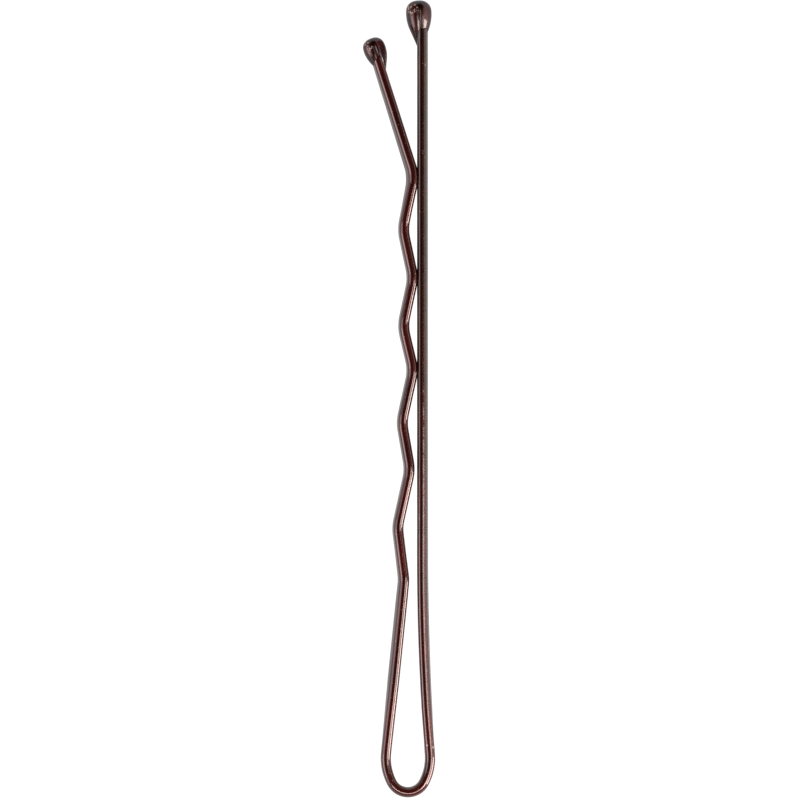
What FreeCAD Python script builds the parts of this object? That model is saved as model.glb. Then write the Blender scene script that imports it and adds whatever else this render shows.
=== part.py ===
import FreeCAD, Part
import math
import os
import Sketcher
from FreeCAD import Placement, Rotation, Vector

# A bobby pin lying on its side. One flat spring wire is folded round a bow: its long leg runs straight, its
# other leg is crimped into waves that rest against the long one, and a drop of resin covers each cut end.
# The wire's middle line lies in the XY plane. +Y runs from the bow to the tips, the long leg is on the +X
# side, and +Z is across the wire's width. The origin is the centre of the bow's rounded end.

# Driving dimensions, in millimetres and degrees
DIMENSIONS = {
    # the wire: the width of its flat sides, which face along the plane of the fold, between round edges
    "wire_thickness": 0.65,
    "wire_flat": 0.55,
    # the bow's middle line: a rounded end between two flatter shoulders
    "bow_radius": 1.16,
    "bow_half_angle": 62.6,
    "shoulder_radius": 3.38,
    # the long leg: its middle line's distance from the eye's centre, and where its straight starts
    "long_leg_offset": 0.935,
    "long_straight_height": 14.2,
    # the wavy leg: its crests point at the long leg, and are counted down from the tip
    "root_crest_height": 12.39,
    "root_pitch": 6.98,
    "third_pitch": 6.37,
    "second_pitch": 5.86,
    "first_pitch": 6.47,
    "root_crest_setback": 0.54,
    "fourth_crest_setback": 0.15,
    "crest_gap": 0.01,
    "wave_depth": 0.6,
    "trough_drop": 0.15,
    "crimp_radius": 2.8,
    # the flared lead-in above the first crest, and how far the long leg's end stands past its end
    "lead_in_angle": 17.4,
    "lead_in_length": 8.48,
    "long_overhang": 2.3,
    # the resin drops: cover over the wire's edges, crown set in towards the other leg, full flanks, taper
    "long_resin_cover": 0.235,
    "long_crown_inset": 0.24,
    "long_flank_radius": 2.8,
    "long_taper_angle": 22.5,
    "long_drop_tilt": 2,
    "wavy_resin_cover": 0.13,
    "wavy_crown_inset": 0.06,
    "wavy_flank_radius": 2.1,
    "wavy_taper_angle": 25.8,
    "wavy_drop_tilt": 3.2,
}

document = FreeCAD.newDocument("bobby_pin")
sheet = document.addObject("Spreadsheet::Sheet", "dims")
for row, (dimension, size) in enumerate(DIMENSIONS.items(), start=1):
    sheet.set(f"A{row}", dimension)
    sheet.set(f"B{row}", str(size))
    sheet.setAlias(f"B{row}", dimension)
document.recompute()

# Corners of the wavy leg below the place where it is divided: two crests, and the trough between them
ROOT_CORNERS = 3

# Names for the points of a sketch, and the sketch's own origin
START = 1
END = 2
CENTRE = 3
ORIGIN = (-1, 1)
UP = Vector(0, 0, 1)
FULL_TURN = 360
TOWARDS_LONG_LEG = 1
TOWARDS_WAVY_LEG = -1

# The bow's shoulders: each one's arc is centred on the far side of the eye
SHOULDER_SHIFT = "(dims.shoulder_radius - dims.bow_radius)"
SHOULDER_X = f"({SHOULDER_SHIFT} * sin(dims.bow_half_angle))"
SHOULDER_Y = f"({SHOULDER_SHIFT} * cos(dims.bow_half_angle))"

# The long leg's slow bend, which runs smoothly from the shoulder into the straight
BEND_X = f"(dims.long_leg_offset + {SHOULDER_X})"
BEND_Y = f"(dims.long_straight_height - {SHOULDER_Y})"
BEND_ROOM = f"(dims.shoulder_radius - {BEND_X})"
BEND_RADIUS = f"(({BEND_X} ^ 2 + {BEND_Y} ^ 2 - dims.shoulder_radius ^ 2) / (2 * {BEND_ROOM}))"
LONG_LEAN = f"atan2({BEND_Y}; {BEND_X} + {BEND_RADIUS})"
LONG_ROOT = (
    f"(dims.shoulder_radius * cos({LONG_LEAN}) - {SHOULDER_X})",
    f"({SHOULDER_Y} + dims.shoulder_radius * sin({LONG_LEAN}))",
)
LONG_STRAIGHT = ("dims.long_leg_offset", "dims.long_straight_height")

# The line that the gripping crests' middles lie on, and the two crests that stand back from it
GRIP_X = "(dims.long_leg_offset - dims.wire_thickness - dims.crest_gap)"
FOURTH_CREST_X = f"({GRIP_X} - dims.fourth_crest_setback)"
ROOT_CREST_X = f"({GRIP_X} - dims.root_crest_setback)"

# The wavy leg's root, which leaves its shoulder straight towards the crest nearest the bow
ROOT_RUN_X = f"({ROOT_CREST_X} - {SHOULDER_X})"
ROOT_RUN_Y = f"(dims.root_crest_height - {SHOULDER_Y})"
ROOT_RUN = f"sqrt({ROOT_RUN_X} ^ 2 + {ROOT_RUN_Y} ^ 2)"
WAVY_LEAN = f"(180 deg - atan2({ROOT_RUN_Y}; {ROOT_RUN_X}) - acos(dims.shoulder_radius / {ROOT_RUN}))"
WAVY_ROOT = (
    f"({SHOULDER_X} - dims.shoulder_radius * cos({WAVY_LEAN}))",
    f"({SHOULDER_Y} + dims.shoulder_radius * sin({WAVY_LEAN}))",
)


def value_of(expression):
    """The number that an expression on the sheet comes to."""
    return float(sheet.evalExpression(expression))


def point_of(place):
    """A place on the XY plane as a vector."""
    return Vector(value_of(place[0]), value_of(place[1]), 0)


def halfway(first, second):
    """The expression halfway between two others."""
    return f"(({first} + {second}) / 2)"


def lean_between(lower, upper):
    """How far a run between two places leans left of straight up."""
    return f"atan(({lower[0]} - {upper[0]}) / ({upper[1]} - {lower[1]}))"


def rise(pitch, up):
    """Height from a crest to the trough above it, or from a crest down to the trough below it."""
    sign = "-" if up else "+"
    return f"(dims.{pitch} / 2 {sign} dims.trough_drop)"


def slope(pitch, up):
    """How far a run of the waves leans from straight up."""
    return f"atan(dims.wave_depth / {rise(pitch, up)})"


def rounded_reach(above, below):
    """How far a rounded crest stops short of the sharp corner that its two runs would make."""
    return f"(dims.crimp_radius * (cos(({above} - {below}) / 2) / cos(({above} + {below}) / 2) - 1))"


def wave_corners():
    """Corners of the crimped stretch, from the crest nearest the bow up to the first crest."""
    pitches = ("root_pitch", "third_pitch", "second_pitch", "first_pitch")
    lines = (ROOT_CREST_X, FOURTH_CREST_X, GRIP_X, GRIP_X, GRIP_X)
    reaches = (
        "0",
        "0",
        rounded_reach(slope("second_pitch", True), slope("third_pitch", False)),
        rounded_reach(slope("first_pitch", True), slope("second_pitch", False)),
        rounded_reach("(dims.lead_in_angle * 1 deg)", slope("first_pitch", False)),
    )
    height = "dims.root_crest_height"
    corners = [(f"({lines[0]} + {reaches[0]})", height)]
    for pitch, lower, upper, reach in zip(pitches, lines, lines[1:], reaches[1:]):
        trough_x = f"({halfway(lower, upper)} - dims.wave_depth)"
        trough_y = f"({height} + {rise(pitch, True)})"
        height = f"({height} + dims.{pitch})"
        corners.append((trough_x, trough_y))
        corners.append((f"({upper} + {reach})", height))
    return corners


WAVE_CORNERS = wave_corners()
FOURTH_CREST = WAVE_CORNERS[ROOT_CORNERS - 1]
THIRD_TROUGH = WAVE_CORNERS[ROOT_CORNERS]
FIRST_CREST = WAVE_CORNERS[-1]
DIVIDE = (halfway(FOURTH_CREST[0], THIRD_TROUGH[0]), halfway(FOURTH_CREST[1], THIRD_TROUGH[1]))
DIVIDE_LEAN = lean_between(FOURTH_CREST, THIRD_TROUGH)
WAVY_END = (
    f"({FIRST_CREST[0]} - dims.lead_in_length * sin(dims.lead_in_angle))",
    f"({FIRST_CREST[1]} + dims.lead_in_length * cos(dims.lead_in_angle))",
)
LONG_END = ("dims.long_leg_offset", f"({WAVY_END[1]} + dims.long_overhang)")


def new_body(label):
    """An empty body and its origin planes by role."""
    body = document.addObject("PartDesign::Body", label)
    body.Label = label
    planes = {}
    for feature in body.Origin.OriginFeatures:
        planes[feature.Role] = feature
    return body, planes


def new_sketch(body, plane, name):
    """A sketch laid on one of the body's origin planes."""
    sketch = body.newObject("Sketcher::SketchObject", name)
    sketch.AttachmentSupport = (plane, [""])
    sketch.MapMode = "FlatFace"
    return sketch


def drive(sketch, constraint, expression):
    """Adds a dimension to a sketch and ties it to the sheet."""
    index = sketch.addConstraint(constraint)
    sketch.setExpression(f"Constraints[{index}]", expression)


def hold_along(sketch, kind, geometry, point, expression):
    """Holds one point of a sketch at a distance from the origin along one axis."""
    drive(sketch, Sketcher.Constraint(kind, *ORIGIN, geometry, point, value_of(expression)), expression)


def hold_point(sketch, geometry, point, place):
    """Holds one point of a sketch at a place worked out from the sheet."""
    hold_along(sketch, "DistanceX", geometry, point, place[0])
    hold_along(sketch, "DistanceY", geometry, point, place[1])


def hold_radius(sketch, arc, expression):
    """Sets the radius of one arc from the sheet."""
    drive(sketch, Sketcher.Constraint("Radius", arc, value_of(expression)), expression)


def join(sketch, first, first_point, second, second_point):
    """Makes two pieces of a sketch meet at one point."""
    sketch.addConstraint(Sketcher.Constraint("Coincident", first, first_point, second, second_point))


def keep_on(sketch, geometry, point, line):
    """Keeps one point of a sketch on a line."""
    sketch.addConstraint(Sketcher.Constraint("PointOnObject", geometry, point, line))


def join_smoothly(sketch, first, first_point, second, second_point):
    """Makes two pieces of a sketch meet end to end in one direction."""
    sketch.addConstraint(Sketcher.Constraint("Tangent", first, first_point, second, second_point))


def arc_between(centre, first, second):
    """The arc that turns left round a centre from one point to another."""
    circle = Part.Circle(centre, UP, (first - centre).Length)
    return Part.ArcOfCircle(circle, circle.parameter(first), circle.parameter(second))


def round_corner(before, corner, after, radius):
    """Centre and ends of the arc that rounds a corner, and whether the wire turns left there."""
    back = (before - corner).normalize()
    ahead = (after - corner).normalize()
    half_opening = back.getAngle(ahead) / 2
    reach = radius / math.tan(half_opening)
    centre = corner + (back + ahead).normalize() * (radius / math.sin(half_opening))
    turns_left = back.cross(ahead).z < 0
    return centre, corner + back * reach, corner + ahead * reach, turns_left


def bent_path(body, plane, places, radius):
    """The wire's line through a row of places, with every corner between the ends rounded alike."""
    sketch = new_sketch(body, plane, body.Label + "_path")
    points = [point_of(place) for place in places]
    guides = []
    for first, second in zip(points, points[1:]):
        guides.append(sketch.addGeometry(Part.LineSegment(first, second), True))
    hold_point(sketch, guides[0], START, places[0])
    for guide, place in zip(guides, places[1:]):
        hold_point(sketch, guide, END, place)
    for guide, following in zip(guides, guides[1:]):
        join(sketch, guide, END, following, START)

    # the arc at each corner, then the straight runs between the arcs
    arcs = []
    run_starts = [points[0]]
    run_ends = []
    for before, corner, after in zip(points, points[1:], points[2:]):
        centre, leaves, returns, turns_left = round_corner(before, corner, after, value_of(radius))
        ends = (leaves, returns) if turns_left else (returns, leaves)
        arcs.append((sketch.addGeometry(arc_between(centre, *ends), False), turns_left))
        run_ends.append(leaves)
        run_starts.append(returns)
    run_ends.append(points[-1])
    runs = []
    for first, second in zip(run_starts, run_ends):
        runs.append(sketch.addGeometry(Part.LineSegment(first, second), False))

    join(sketch, runs[0], START, guides[0], START)
    join(sketch, runs[-1], END, guides[-1], END)
    for index, (arc, turns_left) in enumerate(arcs):
        arc_entry, arc_exit = (START, END) if turns_left else (END, START)
        following = index + 1
        keep_on(sketch, runs[index], END, guides[index])
        keep_on(sketch, runs[following], START, guides[following])
        join_smoothly(sketch, runs[index], END, arc, arc_entry)
        join_smoothly(sketch, arc, arc_exit, runs[following], START)
        hold_radius(sketch, arc, radius)
    return sketch


def long_leg_path(body, plane):
    """Down the straight from the tip, then out along the slow bend to the shoulder."""
    sketch = new_sketch(body, plane, body.Label + "_path")
    straight = sketch.addGeometry(Part.LineSegment(point_of(LONG_END), point_of(LONG_STRAIGHT)), False)
    bend_centre = point_of((f"(dims.long_leg_offset + {BEND_RADIUS})", "dims.long_straight_height"))
    bend = sketch.addGeometry(arc_between(bend_centre, point_of(LONG_STRAIGHT), point_of(LONG_ROOT)), False)
    hold_point(sketch, straight, START, LONG_END)
    hold_point(sketch, straight, END, LONG_STRAIGHT)
    join_smoothly(sketch, straight, END, bend, START)
    hold_radius(sketch, bend, BEND_RADIUS)
    hold_along(sketch, "DistanceY", bend, END, LONG_ROOT[1])
    return sketch


def bow_path(body, plane):
    """The bow's line: the rounded end about the origin, and a flatter shoulder up to each leg."""
    sketch = new_sketch(body, plane, body.Label + "_path")
    end_x = "(dims.bow_radius * sin(dims.bow_half_angle))"
    end_y = "(0 - dims.bow_radius * cos(dims.bow_half_angle))"
    long_side = point_of((end_x, end_y))
    wavy_side = Vector(-long_side.x, long_side.y, 0)
    long_centre = Vector(-value_of(SHOULDER_X), value_of(SHOULDER_Y), 0)
    wavy_centre = Vector(-long_centre.x, long_centre.y, 0)
    round_end = sketch.addGeometry(arc_between(Vector(), wavy_side, long_side), False)
    long_shoulder = sketch.addGeometry(arc_between(long_centre, long_side, point_of(LONG_ROOT)), False)
    wavy_shoulder = sketch.addGeometry(arc_between(wavy_centre, point_of(WAVY_ROOT), wavy_side), False)

    join(sketch, round_end, CENTRE, *ORIGIN)
    hold_radius(sketch, round_end, "dims.bow_radius")
    hold_along(sketch, "DistanceX", round_end, START, f"(0 - {end_x})")
    hold_along(sketch, "DistanceX", round_end, END, end_x)
    join_smoothly(sketch, round_end, END, long_shoulder, START)
    join_smoothly(sketch, wavy_shoulder, END, round_end, START)
    for shoulder in (long_shoulder, wavy_shoulder):
        hold_radius(sketch, shoulder, "dims.shoulder_radius")
    hold_along(sketch, "DistanceY", long_shoulder, END, LONG_ROOT[1])
    hold_along(sketch, "DistanceY", wavy_shoulder, START, WAVY_ROOT[1])
    return sketch


def wire_section(body, plane, place, turn):
    """The wire's cross-section, square to the wire at a place, turned from the XZ plane about Z."""
    sketch = new_sketch(body, plane, body.Label + "_section")
    sketch.AttachmentOffset = Placement(Vector(), Rotation(Vector(0, 1, 0), value_of(turn)))
    sketch.setExpression("AttachmentOffset.Base.x", place[0])
    sketch.setExpression("AttachmentOffset.Base.z", f"(0 - {place[1]})")
    sketch.setExpression("AttachmentOffset.Rotation.Angle", turn)

    half_thickness = "(dims.wire_thickness / 2)"
    edge_centre = "(dims.wire_flat / 2)"
    across = Vector(value_of(half_thickness), 0, 0)
    upper_centre = Vector(0, value_of(edge_centre), 0)
    lower_centre = -upper_centre
    upper_right = upper_centre + across
    upper_left = upper_centre - across
    lower_right = lower_centre + across
    lower_left = lower_centre - across
    upper_edge = sketch.addGeometry(arc_between(upper_centre, upper_right, upper_left), False)
    left_flat = sketch.addGeometry(Part.LineSegment(upper_left, lower_left), False)
    lower_edge = sketch.addGeometry(arc_between(lower_centre, lower_left, lower_right), False)
    right_flat = sketch.addGeometry(Part.LineSegment(lower_right, upper_right), False)
    outline = (upper_edge, left_flat, lower_edge, right_flat)
    for piece, following in zip(outline, outline[1:] + outline[:1]):
        join_smoothly(sketch, piece, END, following, START)
    hold_radius(sketch, upper_edge, half_thickness)
    hold_point(sketch, upper_edge, CENTRE, ("0", edge_centre))
    hold_point(sketch, lower_edge, CENTRE, ("0", f"(0 - {edge_centre})"))
    return sketch


def wire_piece(label, draw_path, place, turn):
    """One stretch of the wire, swept along its own line from a section at one end."""
    body, planes = new_body(label)
    path = draw_path(body, planes["XY_Plane"])
    section = wire_section(body, planes["XZ_Plane"], place, turn)
    document.recompute()
    sweep = body.newObject("PartDesign::AdditivePipe", label + "_sweep")
    sweep.Profile = section
    sweep.Spine = (path, [])
    document.recompute()
    return body


def resin_drop(label, side, inward, place, turn):
    """A drop of resin round one end of the wire, in a frame of its own with +Y out along the wire."""
    body, planes = new_body(label)
    flank_radius = f"dims.{side}_flank_radius"
    taper_angle = f"dims.{side}_taper_angle"
    tilt = f"dims.{side}_drop_tilt"
    crown_radius = f"((dims.wire_thickness + dims.wire_flat) / 2 + dims.{side}_resin_cover)"
    flank_drop = f"({flank_radius} * sin({taper_angle}))"
    taper_root = f"({crown_radius} - {flank_radius} * (1 - cos({taper_angle})))"
    tail_length = f"({flank_drop} + {taper_root} / tan({taper_angle}))"
    crown_x = f"({inward} * dims.{side}_crown_inset)"
    crown_place = (crown_x, "0")
    tail_x = f"({crown_x} - {inward} * {tail_length} * sin({tilt}))"
    tail_place = (tail_x, f"(0 - {tail_length} * cos({tilt}))")

    # points of half the drop's outline, from the tail's point round to the top of the crown
    middle = point_of(crown_place)
    tail_end = point_of(tail_place)
    along = (middle - tail_end).normalize()
    outward = along.cross(UP)
    top = middle + along * value_of(crown_radius)
    widest = middle + outward * value_of(crown_radius)
    flank_centre = widest - outward * value_of(flank_radius)
    to_tail = tail_end - flank_centre
    swing = math.degrees(math.acos(value_of(flank_radius) / to_tail.Length))
    touch = flank_centre + Rotation(UP, swing).multVec(to_tail.normalize()) * value_of(flank_radius)

    profile = new_sketch(body, planes["XY_Plane"], label + "_profile")
    turning_axis = profile.addGeometry(Part.LineSegment(tail_end, middle), True)
    equator = profile.addGeometry(Part.LineSegment(middle, widest), True)
    taper = profile.addGeometry(Part.LineSegment(tail_end, touch), False)
    flank = profile.addGeometry(arc_between(flank_centre, touch, widest), False)
    crown = profile.addGeometry(arc_between(middle, widest, top), False)
    core = profile.addGeometry(Part.LineSegment(top, tail_end), False)
    hold_point(profile, turning_axis, START, tail_place)
    hold_point(profile, turning_axis, END, crown_place)
    join(profile, equator, START, turning_axis, END)
    profile.addConstraint(Sketcher.Constraint("Perpendicular", equator, turning_axis))
    join(profile, crown, CENTRE, turning_axis, END)
    join(profile, crown, START, equator, END)
    join(profile, taper, START, turning_axis, START)
    join(profile, core, END, turning_axis, START)
    join(profile, core, START, crown, END)
    keep_on(profile, turning_axis, END, core)
    join_smoothly(profile, taper, END, flank, START)
    join_smoothly(profile, flank, END, crown, START)
    hold_radius(profile, crown, crown_radius)
    hold_radius(profile, flank, flank_radius)
    document.recompute()

    drop = body.newObject("PartDesign::Revolution", label + "_drop")
    drop.Profile = profile
    drop.ReferenceAxis = (profile, ["Axis0"])
    drop.Angle = FULL_TURN
    document.recompute()
    whole = body.Shape.Volume

    # the socket that the wire's end fills, from the middle of the crown down through the tail
    section = wire_section(body, planes["XZ_Plane"], ("0", "0"), "0")
    document.recompute()
    socket = body.newObject("PartDesign::Pocket", label + "_socket")
    socket.Profile = section
    socket.setExpression("Length", tail_length)
    socket.Reversed = True
    document.recompute()
    if body.Shape.Volume >= whole:
        raise RuntimeError(f"the socket in {label} cuts nothing")

    body.Placement = Placement(Vector(), Rotation(UP, value_of(turn)))
    body.setExpression("Placement.Base.x", place[0])
    body.setExpression("Placement.Base.y", place[1])
    body.setExpression("Placement.Rotation.Angle", turn)
    document.recompute()
    return body


def wavy_root_path(body, plane):
    """Up from the shoulder, through the two crests that stand back from the long leg."""
    return bent_path(body, plane, [WAVY_ROOT, *WAVE_CORNERS[:ROOT_CORNERS], DIVIDE], "dims.crimp_radius")


def wavy_grip_path(body, plane):
    """Up through the crests that grip, then out along the lead-in."""
    return bent_path(body, plane, [DIVIDE, *WAVE_CORNERS[ROOT_CORNERS:], WAVY_END], "dims.crimp_radius")


long_leg = wire_piece("long_leg", long_leg_path, LONG_END, "0")
bow = wire_piece("bow", bow_path, LONG_ROOT, LONG_LEAN)
wavy_leg_root = wire_piece("wavy_leg_root", wavy_root_path, WAVY_ROOT, f"(0 deg - {WAVY_LEAN})")
wavy_leg_grip = wire_piece("wavy_leg_grip", wavy_grip_path, DIVIDE, DIVIDE_LEAN)
long_leg_tip = resin_drop("long_leg_tip", "long", TOWARDS_WAVY_LEG, LONG_END, "0")
wavy_leg_tip = resin_drop("wavy_leg_tip", "wavy", TOWARDS_LONG_LEG, WAVY_END, "dims.lead_in_angle")
pieces = (long_leg, bow, wavy_leg_root, wavy_leg_grip, long_leg_tip, wavy_leg_tip)

# Every feature has to have rebuilt, and every piece has to be one sound solid, before anything is written
for item in document.Objects:
    if "Invalid" in item.State or "Error" in item.State:
        raise RuntimeError(f"{item.Label} did not rebuild: {item.State}")
for piece in pieces:
    if piece.Shape.isNull() or not piece.Shape.isValid() or len(piece.Shape.Solids) != 1:
        raise RuntimeError(f"{piece.Label} is not one sound solid")

os.makedirs("parts", exist_ok=True)
for piece in pieces:
    piece.Shape.exportStep(f"parts/{piece.Label}.step")
    print(piece.Label, "volume", round(piece.Shape.Volume, 3), "mm3")
print("gap at the crests", round(wavy_leg_grip.Shape.distToShape(long_leg.Shape)[0], 3), "mm")
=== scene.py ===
import math
from collections import namedtuple

import bpy
import numpy as np
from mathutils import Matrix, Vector, noise


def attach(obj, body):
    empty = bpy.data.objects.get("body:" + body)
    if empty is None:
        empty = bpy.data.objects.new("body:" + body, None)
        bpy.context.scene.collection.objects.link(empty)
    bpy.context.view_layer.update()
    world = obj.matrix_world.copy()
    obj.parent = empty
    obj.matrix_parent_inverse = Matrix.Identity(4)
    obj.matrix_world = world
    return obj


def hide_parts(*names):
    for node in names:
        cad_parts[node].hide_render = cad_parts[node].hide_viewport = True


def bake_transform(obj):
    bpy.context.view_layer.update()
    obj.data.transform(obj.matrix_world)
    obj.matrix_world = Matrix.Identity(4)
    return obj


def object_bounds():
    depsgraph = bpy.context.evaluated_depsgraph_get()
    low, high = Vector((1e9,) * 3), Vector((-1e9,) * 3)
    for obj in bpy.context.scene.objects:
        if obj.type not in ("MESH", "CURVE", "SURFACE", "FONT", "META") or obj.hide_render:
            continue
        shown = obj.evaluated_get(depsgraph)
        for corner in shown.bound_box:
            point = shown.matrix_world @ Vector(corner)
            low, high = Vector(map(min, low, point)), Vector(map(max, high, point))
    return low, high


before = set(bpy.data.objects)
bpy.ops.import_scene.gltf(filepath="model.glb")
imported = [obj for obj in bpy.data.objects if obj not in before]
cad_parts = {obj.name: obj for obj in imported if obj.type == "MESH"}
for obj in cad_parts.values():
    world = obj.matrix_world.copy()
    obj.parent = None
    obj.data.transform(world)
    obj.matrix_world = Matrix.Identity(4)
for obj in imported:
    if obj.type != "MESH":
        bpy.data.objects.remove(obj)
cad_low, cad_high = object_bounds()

# A bobby pin of flat enamelled wire, lying on its side on a pale table and seen from nearly straight above.
# The wire is one line from the end of the long leg, round the bow, to the end of the wavy leg.
# The pin's own sizes are in millimetres, and those of the table, lights and camera in metres.

MM = 0.001

# The wire's section: short flat sides between oval edges
WIRE_THICKNESS = 0.65
WIRE_WIDTH = 1.2
EDGE_DEPTH = 0.37
HALF_THICKNESS = WIRE_THICKNESS / 2
HALF_FLAT = WIRE_WIDTH / 2 - EDGE_DEPTH

# The bow's middle line: a rounded end between two flatter shoulders
BOW_RADIUS = 1.16
BOW_HALF_ANGLE = math.radians(62.6)
SHOULDER_RADIUS = 3.38

# The long leg: how far its straight lies from the bow's middle, and the height where its slow bend starts
LONG_LEG_OFFSET = 0.935
LONG_STRAIGHT_HEIGHT = 14.2

# The wavy leg's crests, from the one nearest the bow upwards
ROOT_CREST_HEIGHT = 12.39
PITCHES = (6.98, 6.37, 5.86, 6.47)
CREST_SETBACKS = (0.54, 0.15, 0, 0, 0)
CREST_GAP = 0.01
WAVE_DEPTH = 0.6
TROUGH_DROP = 0.15
CRIMP_RADIUS = 2.8

# The wavy leg's flared lead-in, and how far the long leg reaches past its end
LEAD_IN_ANGLE = math.radians(17.4)
LEAD_IN_LENGTH = 8.48
LONG_OVERHANG = 2.3

# The resin drops: the cover is past half the wire's width, the inset is from the wire's middle,
# and the shelf is the share of its depth that a drop loses on the far side of the wire
Drop = namedtuple("Drop", "cover inset flank_radius taper tilt shelf")
LONG_DROP = Drop(
    cover=0.235,
    inset=-0.24,
    flank_radius=2.8,
    taper=math.radians(22.5),
    tilt=math.radians(2),
    shelf=0.13,
)
WAVY_DROP = Drop(
    cover=0.13,
    inset=0.06,
    flank_radius=2.1,
    taper=math.radians(25.8),
    tilt=math.radians(3.2),
    shelf=0.3,
)

# How full a drop's crown is: 1 is a half ball and less is fuller
CROWN_FULLNESS = 0.84

# The valley down each drop, between the ridge over the wire and the lobe of resin that sags beside it:
# it starts at a share of the crown's height and is at its deepest by the crown's middle
VALLEY_DEPTH = 0.12
VALLEY_WIDTH = 0.11
VALLEY_START = 0.8

# Where across a drop its far side starts to fall away, and over what width
SHELF_START = 0.15
SHELF_WIDTH = 0.45

# Where the flakes with painted glints gather in a drop, across and along it, and how far they reach
SPARKLE_PLACE = np.array((-0.45, 0.3))
SPARKLE_REACH = 0.3

# A drop's colour is darkened with painted shade where it is thin, by its girth as a share of its fullest
DARK_GIRTH = 0.8
DARK_SPAN = 0.5

# How far the wire is rolled: heights above the bow, each with the roll there in degrees
LONG_TWIST = ((1.5, 0), (4, -9), (9, -13), (18, -11), (48, -11))
NO_TWIST = ((0, 0),)
WAVY_TWIST = ((2, 0), (6, -11), (11, -11), (14, -6), (36, -6), (38, -14), (46, -6))

# Unevenness of the dipped finish
RIPPLE_SCALE = 1.4
RIPPLE_DEPTH = 0.006
WOBBLE_SCALE = np.array((2.0, 0.8, 2.0))
WOBBLE_DEPTH = 0.03
WOBBLE_PLACE = np.array((3.0, 1.0, 7.0))

# How finely the wire and the drops are divided
STEP = 0.12
SHARPEST_STEP = math.radians(5)
EDGE_STEPS = 18
FLAT_STEPS = 2
DROP_AROUND = 144
TAPER_STEPS = 24
FLANK_STEPS = 14
CROWN_STEPS = 24
SHARP_ANGLE = math.radians(60)

# The enamel's and the resin's colours, from dark to light where there are two
ENAMEL_RED = ((0.06, 0.004, 0.002, 1), (0.12, 0.011, 0.007, 1))
ENAMEL_BROWN = ((0.03, 0.006, 0.001, 1), (0.055, 0.013, 0.004, 1))
SPECK_COLOUR = (0.35, 0.24, 0.2, 1)
BARE_COLOUR = (0.6, 0.5, 0.46, 1)
RESIN_MAROON = ((0.018, 0.001, 0.0015, 1), (0.09, 0.008, 0.006, 1))
# Near-black painted shade for each drop's valley and thin tail
CREASE_SHADE_COLOUR = (0.002, 0.0015, 0.0015, 1)
# Pale colour of the painted glints on the resin's flakes
SPARK_GLINT_COLOUR = (1, 0.74, 0.64, 1)

# Where the enamel is chipped, a chip's size, how far out it fades as a share of that,
# and how much rougher than the enamel the bare wire is
CHIPS = ((0.5, 25.5, 0.5), (-0.95, 1.91, 0.5), (1.22, 1.85, 0.5), (1.6, 1.72, 0.5), (1.13, 45.17, 0.55))
CHIP_SIZE = 0.09
CHIP_FADE = 1.6
BARE_ROUGHNESS = 0.2

# How the resin's clouds are drawn out along the drops
CLOUD_STRETCH = (1, 0.4, 1)

# The places of a Mix node's sockets for colours
MIX_SHARE = 0
MIX_FIRST = 6
MIX_SECOND = 7
MIX_RESULT = 2

# The table: a white sheet that the camera sees, and a grey one in its place for what the pin reflects, which
# is painted shade standing in for the table shaded round the pin
TABLE_HALF = 2.0
TABLE_CORNERS = ((-1, -1), (1, -1), (1, 1), (-1, 1))
TABLE_ROUGHNESS = 0.9
PAPER_SHADE = 0.1
PAPER_GLOW = 1.0
BOUNCE_SHADE = 0.6
BOUNCE_GLOW = 0.4

# The light tent's shades by height, bright near the table and dark overhead
TENT_SHADES = (
    (0.1, (0.8, 0.78, 0.79, 1)),
    (0.25, (0.12, 0.11, 0.11, 1)),
    (0.6, (0.03, 0.026, 0.026, 1)),
    (0.9, (0.012, 0.01, 0.01, 1)),
)

# The place on the pin that the lights face
LIGHT_AIM = Vector((0, 0.0238, 0))

# The camera, tilted a little from straight above
PICTURE_CENTRE = Vector((-0.503 * MM, 23.82 * MM, 0))
CAMERA_DISTANCE = 0.4
CAMERA_TILT = math.radians(3)
CAMERA_LENS = 282.6


def place(x, y):
    """A point on the plane that the wire's middle line lies in."""
    return np.array((x, y), float)


def towards(angle):
    """The direction at an angle from +X."""
    return place(math.cos(angle), math.sin(angle))


def straight(start, end):
    """Points and headings along a straight run, without its last point."""
    run = end - start
    steps = math.ceil(np.linalg.norm(run) / STEP)
    shares = np.arange(steps)[:, None] / steps
    return start + run * shares, np.full(steps, math.atan2(run[1], run[0]))


def arc(centre, radius, first, last):
    """Points and headings round a centre from one angle to another, without the last point."""
    turn = last - first
    steps = math.ceil(max(abs(turn) * radius / STEP, abs(turn) / SHARPEST_STEP))
    angles = first + turn * np.arange(steps) / steps
    points = centre + radius * np.stack((np.cos(angles), np.sin(angles)), axis=1)
    return points, angles + math.copysign(math.pi / 2, turn)


def rounded(places, radius):
    """A line through a row of places with its corners rounded, as straight runs and arcs."""
    stretches = []
    start = places[0]
    for before, corner, after in zip(places, places[1:], places[2:]):
        back = (before - corner) / np.linalg.norm(before - corner)
        ahead = (after - corner) / np.linalg.norm(after - corner)
        half_opening = math.acos(float(back @ ahead)) / 2
        reach = radius / math.tan(half_opening)
        middle = (back + ahead) / np.linalg.norm(back + ahead)
        centre = corner + middle * radius / math.sin(half_opening)
        leaves = corner + back * reach - centre
        returns = corner + ahead * reach - centre
        first = math.atan2(leaves[1], leaves[0])
        turn = math.atan2(leaves[0] * returns[1] - leaves[1] * returns[0], float(leaves @ returns))
        stretches.append(straight(start, centre + leaves))
        stretches.append(arc(centre, radius, first, first + turn))
        start = centre + returns
    stretches.append(straight(start, places[-1]))
    return stretches


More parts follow.
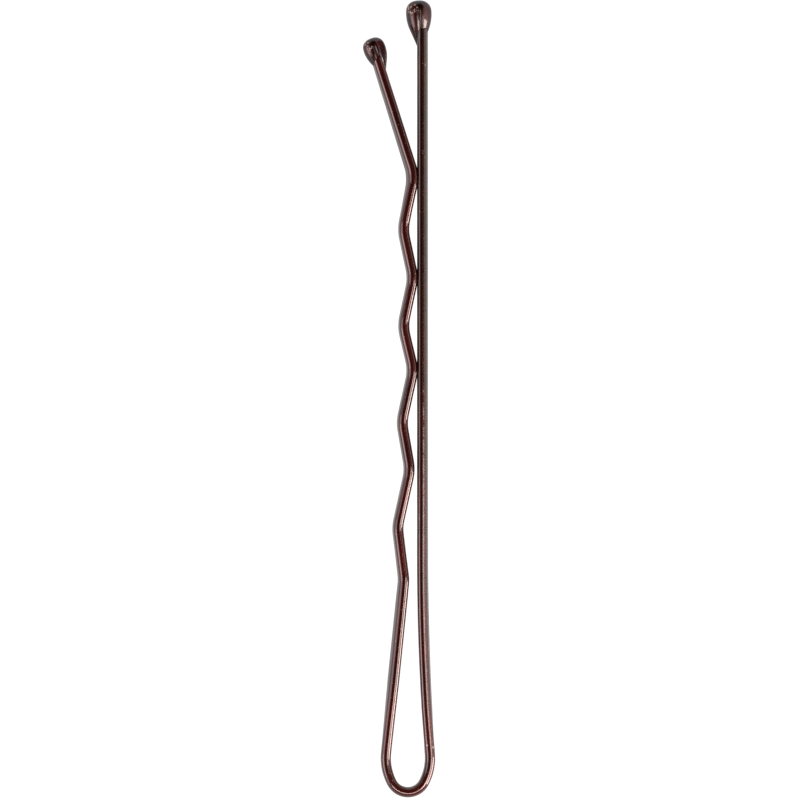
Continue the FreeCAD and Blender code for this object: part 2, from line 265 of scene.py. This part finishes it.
def wave_corners():
    """Corners of the crimped stretch, from the crest nearest the bow up to the last one."""
    grip = LONG_LEG_OFFSET - WIRE_THICKNESS - CREST_GAP
    crests = [grip - setback for setback in CREST_SETBACKS]
    rises = [pitch / 2 - TROUGH_DROP for pitch in PITCHES]
    falls = [pitch / 2 + TROUGH_DROP for pitch in PITCHES]
    above = [math.atan(WAVE_DEPTH / rise) for rise in rises[1:]] + [LEAD_IN_ANGLE]
    below = [math.atan(WAVE_DEPTH / fall) for fall in falls]
    # Rounding draws a crest back from its corner, so the crests that grip have theirs further out
    reaches = [0, 0]
    for leaving, arriving in list(zip(above, below))[1:]:
        sharpness = math.cos((leaving - arriving) / 2) / math.cos((leaving + arriving) / 2)
        reaches.append(CRIMP_RADIUS * (sharpness - 1))
    height = ROOT_CREST_HEIGHT
    corners = [place(crests[0] + reaches[0], height)]
    for index, pitch in enumerate(PITCHES):
        trough = (crests[index] + crests[index + 1]) / 2 - WAVE_DEPTH
        corners.append(place(trough, height + rises[index]))
        height += pitch
        corners.append(place(crests[index + 1] + reaches[index + 1], height))
    return corners


# Places along the wire, worked out from those sizes
SHOULDER_SHIFT = SHOULDER_RADIUS - BOW_RADIUS
WAVY_SHOULDER_CENTRE = SHOULDER_SHIFT * place(math.sin(BOW_HALF_ANGLE), math.cos(BOW_HALF_ANGLE))
LONG_SHOULDER_CENTRE = WAVY_SHOULDER_CENTRE * (-1, 1)
WAVE_CORNERS = wave_corners()
LEAD_IN = LEAD_IN_LENGTH * place(-math.sin(LEAD_IN_ANGLE), math.cos(LEAD_IN_ANGLE))
WAVY_END = WAVE_CORNERS[-1] + LEAD_IN
LONG_END = place(LONG_LEG_OFFSET, WAVY_END[1] + LONG_OVERHANG)
LONG_STRAIGHT_END = place(LONG_LEG_OFFSET, LONG_STRAIGHT_HEIGHT)


def long_leg_line():
    """Down the straight from the tip, then out along the slow bend, with its lean at the shoulder."""
    reach = LONG_STRAIGHT_END - LONG_SHOULDER_CENTRE
    radius = (reach @ reach - SHOULDER_RADIUS ** 2) / (2 * (SHOULDER_RADIUS - reach[0]))
    lean = math.atan2(reach[1], reach[0] + radius)
    centre = LONG_STRAIGHT_END + place(radius, 0)
    return [straight(LONG_END, LONG_STRAIGHT_END), arc(centre, radius, math.pi, math.pi + lean)], lean


def wavy_root_lean():
    """How far the wavy leg's root leans in towards the crest nearest the bow."""
    run = WAVE_CORNERS[0] - WAVY_SHOULDER_CENTRE
    return math.pi - math.atan2(run[1], run[0]) - math.acos(SHOULDER_RADIUS / np.linalg.norm(run))


def bow_line(long_lean, wavy_lean):
    """Round the bow from the long leg to the wavy leg: a shoulder, the rounded end, the other shoulder."""
    start = BOW_HALF_ANGLE - math.pi / 2
    end = -BOW_HALF_ANGLE - math.pi / 2
    return [
        arc(LONG_SHOULDER_CENTRE, SHOULDER_RADIUS, long_lean, start),
        arc(place(0, 0), BOW_RADIUS, start, end),
        arc(WAVY_SHOULDER_CENTRE, SHOULDER_RADIUS, end, -math.pi - wavy_lean),
    ]


def wavy_leg_line(wavy_lean):
    """Up from the shoulder, through the crimps, then out along the lead-in."""
    root = WAVY_SHOULDER_CENTRE + SHOULDER_RADIUS * towards(math.pi - wavy_lean)
    return rounded([root, *WAVE_CORNERS, WAVY_END], CRIMP_RADIUS)


def first_of(stretches):
    """Where a line starts, and its heading there."""
    return stretches[0][0][0], stretches[0][1][0]


def wire_section():
    """Points round the wire's section, in its thickness and width, with their outward directions."""
    points = []
    outward = []
    for end in (1, -1):
        for step in range(EDGE_STEPS):
            angle = math.pi * step / EDGE_STEPS
            across, up = towards(angle)
            points.append(end * place(HALF_THICKNESS * across, HALF_FLAT + EDGE_DEPTH * up))
            slope = place(across / HALF_THICKNESS, up / EDGE_DEPTH)
            outward.append(end * slope / np.linalg.norm(slope))
        for step in range(FLAT_STEPS):
            height = HALF_FLAT * (1 - 2 * step / FLAT_STEPS)
            points.append(end * place(-HALF_THICKNESS, height))
            outward.append(end * place(-1, 0))
    return np.array(points), np.array(outward)


SECTION, SECTION_OUTWARD = wire_section()


def hollows(points, scale, depth):
    """How far the finish lies below its fullest at each point, between nothing and a depth."""
    return np.array([depth * (0.5 - 0.5 * noise.noise(Vector(point) * scale)) for point in points])


def eased(shares):
    """Shares between 0 and 1 with a smooth start and end."""
    return shares ** 2 * (3 - 2 * shares)


def turn_matrix(angle):
    """A turn about the pin's Z axis."""
    return np.array((
        (math.cos(angle), -math.sin(angle), 0),
        (math.sin(angle), math.cos(angle), 0),
        (0, 0, 1),
    ))


def add_object(name, data):
    """A new object in the scene that shows a mesh, light or camera."""
    made = bpy.data.objects.new(name, data)
    bpy.context.scene.collection.objects.link(made)
    return made


def add_piece(name, points, faces, finish):
    """A smooth mesh piece in millimetres, whose points keep their rest places for the finish."""
    mesh = bpy.data.meshes.new(name)
    mesh.from_pydata((points * MM).tolist(), [], faces)
    mesh.validate()
    mesh.update()
    rest = mesh.attributes.new("rest", "FLOAT_VECTOR", "POINT")
    rest.data.foreach_set("vector", points.astype(np.float32).ravel())
    mesh.shade_smooth()
    mesh.set_sharp_from_angle(angle=SHARP_ANGLE)
    mesh.materials.append(finish)
    return add_object(name, mesh)


def skin(count, around):
    """Faces between rings of points, ring after ring."""
    corners = np.arange(count * around).reshape(count, around)
    onward = np.roll(corners, -1, axis=1)
    sides = np.stack((corners[:-1], onward[:-1], onward[1:], corners[1:]), axis=-1)
    return sides.reshape(-1, 4).tolist(), corners


def wire_piece(name, stretches, closing, twists, finish):
    """A closed length of wire swept along its line, ending at a point with a heading.

    The twists are heights along the line's Y and how far the wire is rolled there."""
    line = np.concatenate([stretch[0] for stretch in stretches] + [[closing[0]]])
    headings = np.concatenate([stretch[1] for stretch in stretches] + [[closing[1]]])
    roll = np.radians(np.interp(line[:, 1], *zip(*twists)))[:, None]
    flat = np.stack((np.sin(headings), -np.cos(headings), np.zeros(len(headings))), axis=1)
    upright = np.array((0, 0, 1.0))
    across = flat * np.cos(roll) + upright * np.sin(roll)
    up = upright * np.cos(roll) - flat * np.sin(roll)
    middle = np.column_stack((line, np.zeros(len(line))))
    rings = middle[:, None] + SECTION[None, :, :1] * across[:, None] + SECTION[None, :, 1:] * up[:, None]
    outward = SECTION_OUTWARD[None, :, :1] * across[:, None] + SECTION_OUTWARD[None, :, 1:] * up[:, None]
    count, around = rings.shape[:2]
    points = rings.reshape(-1, 3)
    points = points - outward.reshape(-1, 3) * hollows(points, RIPPLE_SCALE, RIPPLE_DEPTH)[:, None]
    faces, corners = skin(count, around)
    faces.append(corners[0][::-1].tolist())
    faces.append(corners[-1].tolist())
    return add_piece(name, points, faces, finish)


def drop_profile(crown, flank_radius, taper):
    """Places along a drop's axis from its tail to its top, its radius at each, and where its tail ends."""
    reach = flank_radius * math.sin(taper)
    throat = crown - flank_radius * (1 - math.cos(taper))
    tail = reach + throat / math.tan(taper)
    tapers = np.linspace(0, 1, TAPER_STEPS, endpoint=False)[1:]
    flanks = np.linspace(taper, 0, FLANK_STEPS, endpoint=False)
    crowns = np.linspace(0, math.pi / 2, CROWN_STEPS, endpoint=False)
    along = np.concatenate((
        tapers * (tail - reach) - tail,
        -flank_radius * np.sin(flanks),
        crown * np.sin(crowns) ** CROWN_FULLNESS,
    ))
    radii = np.concatenate((
        tapers * throat,
        crown - flank_radius * (1 - np.cos(flanks)),
        crown * np.cos(crowns) ** CROWN_FULLNESS,
    ))
    return along, radii, -tail


def drop_faces(count):
    """Faces over a drop's rings of points, closed at its tail and its top by the two points after them."""
    faces, corners = skin(count, DROP_AROUND)
    tail = count * DROP_AROUND
    top = tail + 1
    for first, second in zip(corners[0], np.roll(corners[0], -1)):
        faces.append([int(second), int(first), tail])
    for first, second in zip(corners[-1], np.roll(corners[-1], -1)):
        faces.append([int(first), int(second), top])
    return faces


def drop_piece(name, end, lean, drop, finish):
    """A closed teardrop of resin hung off-centre over the end of a leg."""
    crown = WIRE_WIDTH / 2 + drop.cover
    along, radii, tail = drop_profile(crown, drop.flank_radius, drop.taper)
    turns = np.arange(DROP_AROUND) * 2 * math.pi / DROP_AROUND
    across = radii[:, None] * np.cos(turns)
    deep = -radii[:, None] * np.sin(turns)
    rings = np.stack(np.broadcast_arrays(across, along[:, None], deep), axis=-1)
    points = np.concatenate((rings.reshape(-1, 3), [(0, tail, 0), (0, crown, 0)]))
    girth = np.append(np.repeat(radii, DROP_AROUND), (0, 0)) / crown
    # The surface sinks towards the drop's core, which runs from the crown's middle halfway to the tail's end
    direction = points - np.array((0, 1.0, 0)) * np.clip(points[:, 1:2], tail / 2, 0)
    direction /= np.linalg.norm(direction, axis=1)[:, None]
    wobble = hollows((points + WOBBLE_PLACE) * WOBBLE_SCALE, 1, WOBBLE_DEPTH)
    started = np.clip(1 - points[:, 1] / (VALLEY_START * crown), 0, 1)
    valley = np.exp(-(points[:, 0] / VALLEY_WIDTH) ** 2) * eased(started)
    # Painted shade goes in the valley and where the drop thins to its tail
    tail_shade = np.clip((DARK_GIRTH - girth) / DARK_SPAN, 0, 1)
    # Painted glints gather round a place in the sagging lobe
    from_sparkle = np.linalg.norm(points[:, :2] - SPARKLE_PLACE, axis=1)
    shades = {
        "lobe": np.exp(-(from_sparkle / SPARKLE_REACH) ** 2),
        "crease_shade": np.maximum(valley, tail_shade),
    }
    points = points - direction * (wobble + VALLEY_DEPTH * valley * girth)[:, None]
    fallen = np.clip((points[:, 0] - SHELF_START) / SHELF_WIDTH, 0, 1)
    points[:, 2] *= 1 - drop.shelf * eased(fallen)
    points = points @ turn_matrix(drop.tilt).T + np.array((drop.inset, 0, 0))
    points = points @ turn_matrix(lean).T + np.array((*end, 0))
    piece = add_piece(name, points, drop_faces(len(along)), finish)
    for label, values in shades.items():
        attribute = piece.data.attributes.new(label, "FLOAT", "POINT")
        attribute.data.foreach_set("value", values.astype(np.float32))
    return piece


def add_node(tree, kind, inputs, **settings):
    """A shader node with its settings, its inputs given values or joined to other nodes."""
    made = tree.nodes.new("ShaderNode" + kind)
    for name, value in settings.items():
        setattr(made, name, value)
    for name, value in inputs.items():
        if isinstance(value, bpy.types.NodeSocket):
            tree.links.new(value, made.inputs[name])
        else:
            made.inputs[name].default_value = value
    return made


def maths(tree, operation, *values):
    """The result of a sum on sockets and numbers."""
    return add_node(tree, "Math", dict(enumerate(values)), operation=operation).outputs[0]


def mixed(tree, share, first, second):
    """A colour between two, by a share."""
    inputs = {MIX_SHARE: share, MIX_FIRST: first, MIX_SECOND: second}
    return add_node(tree, "Mix", inputs, data_type="RGBA").outputs[MIX_RESULT]


def spread(tree, value, low, high, first=0, second=1):
    """A value stretched from one range to another, held at its ends."""
    inputs = {"Value": value, "From Min": low, "From Max": high, "To Min": first, "To Max": second}
    return add_node(tree, "MapRange", inputs).outputs["Result"]


def stored(tree, label):
    """What the points of a piece keep under a label."""
    return add_node(tree, "Attribute", {}, attribute_name=label)


def new_finish(name):
    """A material with its node tree, its shader and the rest places of the surface in millimetres."""
    material = bpy.data.materials.new(name)
    material.use_nodes = True
    tree = material.node_tree
    return material, tree, tree.nodes["Principled BSDF"], stored(tree, "rest").outputs["Vector"]


def mottle(tree, places, scale, detail):
    """A soft cloudy value over the surface."""
    return add_node(tree, "TexNoise", {"Vector": places, "Scale": scale, "Detail": detail}).outputs["Fac"]


def flakes(tree, places, per_mm, share, size):
    """Where metal flakes in the finish catch the light: a share of the cells of a fine net."""
    net = add_node(tree, "TexVoronoi", {"Vector": places, "Scale": per_mm})
    chance = add_node(tree, "SeparateColor", {"Color": net.outputs["Color"]}).outputs["Red"]
    chosen = maths(tree, "LESS_THAN", chance, share)
    near = spread(tree, net.outputs["Distance"], low=size / 2, high=size, first=1, second=0)
    return maths(tree, "MULTIPLY", chosen, near)


def chips(tree, places):
    """Where the enamel is knocked off: small ragged spots at the places seen on the pin."""
    nearest = None
    for chip in CHIPS:
        gap = add_node(tree, "VectorMath", {0: places, 1: chip}, operation="DISTANCE").outputs["Value"]
        nearest = gap if nearest is None else maths(tree, "MINIMUM", nearest, gap)
    ragged = maths(tree, "MULTIPLY", mottle(tree, places, scale=14, detail=2), CHIP_SIZE)
    edge = maths(tree, "ADD", nearest, ragged)
    return spread(tree, edge, low=CHIP_SIZE, high=CHIP_SIZE * CHIP_FADE, first=1, second=0)


def glaze(tree, shader, grain, roughness, index, strength, depth):
    """A clear coat over a finish, whose grain shows in it a little, like orange peel."""
    shader.inputs["Coat Weight"].default_value = 1
    shader.inputs["Coat Roughness"].default_value = roughness
    shader.inputs["Coat IOR"].default_value = index
    peel = add_node(tree, "Bump", {"Height": grain, "Strength": strength, "Distance": depth * MM})
    for normal in ("Normal", "Coat Normal"):
        tree.links.new(peel.outputs["Normal"], shader.inputs[normal])


def enamel_finish():
    """Maroon-brown stoved enamel: a clear glossy coat over a dark red metallic ground."""
    material, tree, shader, places = new_finish("enamel")
    cloud = spread(tree, mottle(tree, places, scale=0.35, detail=3), low=0.35, high=0.65)
    red = mixed(tree, cloud, *ENAMEL_RED)
    brown = mixed(tree, cloud, *ENAMEL_BROWN)
    # The long leg turns browner away from the bow
    parts = add_node(tree, "SeparateXYZ", {"Vector": places})
    on_long_leg = spread(tree, parts.outputs["X"], low=0.6, high=0.65)
    away_from_bow = spread(tree, parts.outputs["Y"], low=6, high=30)
    ground = mixed(tree, maths(tree, "MULTIPLY", on_long_leg, away_from_bow), red, brown)
    specks = flakes(tree, places, per_mm=11, share=0.011, size=0.5)
    speckled = mixed(tree, specks, ground, SPECK_COLOUR)
    bare = chips(tree, places)
    colour = mixed(tree, bare, speckled, BARE_COLOUR)
    grain = mottle(tree, places, scale=5, detail=2)
    painted = spread(tree, grain, low=0.3, high=0.7, first=0.22, second=0.32)
    rough = maths(tree, "ADD", painted, maths(tree, "MULTIPLY", bare, BARE_ROUGHNESS))
    tree.links.new(colour, shader.inputs["Base Color"])
    tree.links.new(rough, shader.inputs["Roughness"])
    shader.inputs["Metallic"].default_value = 0.5
    glaze(tree, shader, grain, roughness=0.035, index=1.9, strength=0.08, depth=0.02)
    return material


def resin_finish():
    """Dark maroon resin, dipped thick over the ends, with coarse flakes in its sagging lobe whose glints are
    painted in as pale colour, and painted shade in its valley and tail.
    """
    material, tree, shader, places = new_finish("tip_resin")
    inputs = {0: places, 1: CLOUD_STRETCH}
    drawn = add_node(tree, "VectorMath", inputs, operation="MULTIPLY").outputs["Vector"]
    cloud = spread(tree, mottle(tree, drawn, scale=1.6, detail=3), low=0.38, high=0.62)
    body = mixed(tree, cloud, *RESIN_MAROON)
    # Painted shade: the colour goes near black in the valley and the thin tail
    ground = mixed(tree, stored(tree, "crease_shade").outputs["Fac"], body, CREASE_SHADE_COLOUR)
    # Painted glints: pale flakes, crowded in the lobe
    crowd = spread(tree, stored(tree, "lobe").outputs["Fac"], low=0.15, high=0.4)
    spark_glints = maths(tree, "MULTIPLY", flakes(tree, places, per_mm=8, share=0.5, size=0.6), crowd)
    colour = mixed(tree, spark_glints, ground, SPARK_GLINT_COLOUR)
    grain = mottle(tree, places, scale=4, detail=2)
    rough = spread(tree, grain, low=0.3, high=0.7, first=0.2, second=0.34)
    tree.links.new(colour, shader.inputs["Base Color"])
    tree.links.new(rough, shader.inputs["Roughness"])
    shader.inputs["Metallic"].default_value = 0.15
    glaze(tree, shader, grain, roughness=0.05, index=1.5, strength=0.25, depth=0.03)
    return material


def table_sheet(name, shade, glow):
    """A matt sheet under the pin that shines by itself."""
    mesh = bpy.data.meshes.new(name)
    mesh.from_pydata([(x * TABLE_HALF, y * TABLE_HALF, 0) for x, y in TABLE_CORNERS], [], [(0, 1, 2, 3)])
    sheet = add_object(name, mesh)
    sheet.location.z = cad_low.z
    paper = bpy.data.materials.new(name)
    paper.use_nodes = True
    shader = paper.node_tree.nodes["Principled BSDF"]
    shader.inputs["Base Color"].default_value = (shade, shade, shade, 1)
    shader.inputs["Roughness"].default_value = TABLE_ROUGHNESS
    shader.inputs["Emission Color"].default_value = (1, 1, 1, 1)
    shader.inputs["Emission Strength"].default_value = glow
    mesh.materials.append(paper)
    return sheet


def light_tent():
    """Light from all round, shaded by its height."""
    world = bpy.data.worlds.new("tent")
    bpy.context.scene.world = world
    world.use_nodes = True
    tree = world.node_tree
    direction = add_node(tree, "TexCoord", {}).outputs["Generated"]
    parts = add_node(tree, "SeparateXYZ", {"Vector": direction})
    ramp = add_node(tree, "ValToRGB", {"Fac": parts.outputs["Z"]})
    steps = ramp.color_ramp.elements
    steps[0].position, steps[0].color = TENT_SHADES[0]
    steps[1].position, steps[1].color = TENT_SHADES[-1]
    for position, colour in TENT_SHADES[1:-1]:
        steps.new(position).color = colour
    tree.links.new(ramp.outputs["Color"], tree.nodes["Background"].inputs["Color"])


def softbox(name, centre, size, radiance, colour):
    """A rectangular light that faces the middle of the pin."""
    light = bpy.data.lights.new(name, "AREA")
    light.shape = "RECTANGLE"
    light.size, light.size_y = size
    light.energy = radiance * size[0] * size[1] * math.pi
    light.color = colour
    holder = add_object(name, light)
    holder.location = centre
    aim = LIGHT_AIM - Vector(centre)
    holder.rotation_euler = aim.to_track_quat("-Z", "Y").to_euler()
    holder.visible_camera = False


# The pin's pieces
enamel = enamel_finish()
resin = resin_finish()

long_stretches, long_lean = long_leg_line()
wavy_lean = wavy_root_lean()
bow_stretches = bow_line(long_lean, wavy_lean)
shoulder_stretches = bow_stretches[-1:]
wavy_stretches = wavy_leg_line(wavy_lean)
wavy_end = (WAVY_END, math.pi / 2 + LEAD_IN_ANGLE)

long_leg = wire_piece("long_leg_wire", long_stretches, first_of(bow_stretches), LONG_TWIST, enamel)
bow = wire_piece("bow_wire", bow_stretches[:-1], first_of(shoulder_stretches), NO_TWIST, enamel)
shoulder = wire_piece("bow_shoulder_wire", shoulder_stretches, first_of(wavy_stretches), NO_TWIST, enamel)
wavy_leg = wire_piece("wavy_leg_wire", wavy_stretches, wavy_end, WAVY_TWIST, enamel)
long_drop = drop_piece("long_leg_drop", LONG_END, 0, LONG_DROP, resin)
wavy_drop = drop_piece("wavy_leg_drop", WAVY_END, LEAD_IN_ANGLE, WAVY_DROP, resin)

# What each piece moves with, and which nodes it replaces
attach(long_leg, "long_side")
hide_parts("long_leg")
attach(bow, "long_side")
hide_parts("bow")
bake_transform(shoulder)
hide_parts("bow")
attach(wavy_leg, "wavy_side")
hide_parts("wavy_leg_root", "wavy_leg_grip")
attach(long_drop, "long_side")
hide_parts("long_leg_tip")
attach(wavy_drop, "wavy_side")
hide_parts("wavy_leg_tip")

# The table and the light tent
table = table_sheet("table", PAPER_SHADE, PAPER_GLOW)
table.visible_diffuse = False
table.visible_glossy = False
bounce = table_sheet("table_bounce", BOUNCE_SHADE, BOUNCE_GLOW)
bounce.visible_camera = False
light_tent()

# The lights
softbox("right_box", centre=(0.455, -0.13, 0.1), size=(0.24, 0.2), radiance=9, colour=(1, 0.87, 0.81))
softbox("right_strip", centre=(0.35, 0.004, 0.35), size=(0.03, 0.12), radiance=5, colour=(1, 0.91, 0.87))
softbox("right_card", centre=(0.4, 0.05, 0.16), size=(0.36, 0.07), radiance=1, colour=(1, 0.92, 0.82))
softbox("front_box", centre=(0.26, -0.11, 0.4), size=(0.2, 0.26), radiance=4, colour=(1, 0.97, 0.9))
softbox("left_box", centre=(-0.43, -0.09, 0.14), size=(0.2, 0.12), radiance=2, colour=(1, 0.88, 0.89))
softbox("left_card", centre=(-0.44, -0.07, 0.17), size=(0.39, 0.34), radiance=1.1, colour=(1, 0.86, 0.87))
softbox("near_box", centre=(0.006, -0.031, 0.06), size=(0.1, 0.014), radiance=6, colour=(1, 0.92, 0.89))

# The camera
camera = bpy.data.cameras.new("camera")
camera.lens = CAMERA_LENS
viewer = add_object("camera", camera)
view_direction = Vector((-math.sin(CAMERA_TILT), 0, math.cos(CAMERA_TILT)))
viewer.location = PICTURE_CENTRE + CAMERA_DISTANCE * view_direction
viewer.rotation_euler = (0, -CAMERA_TILT, 0)
bpy.context.scene.camera = viewer
bpy.context.scene.view_settings.view_transform = "Standard"
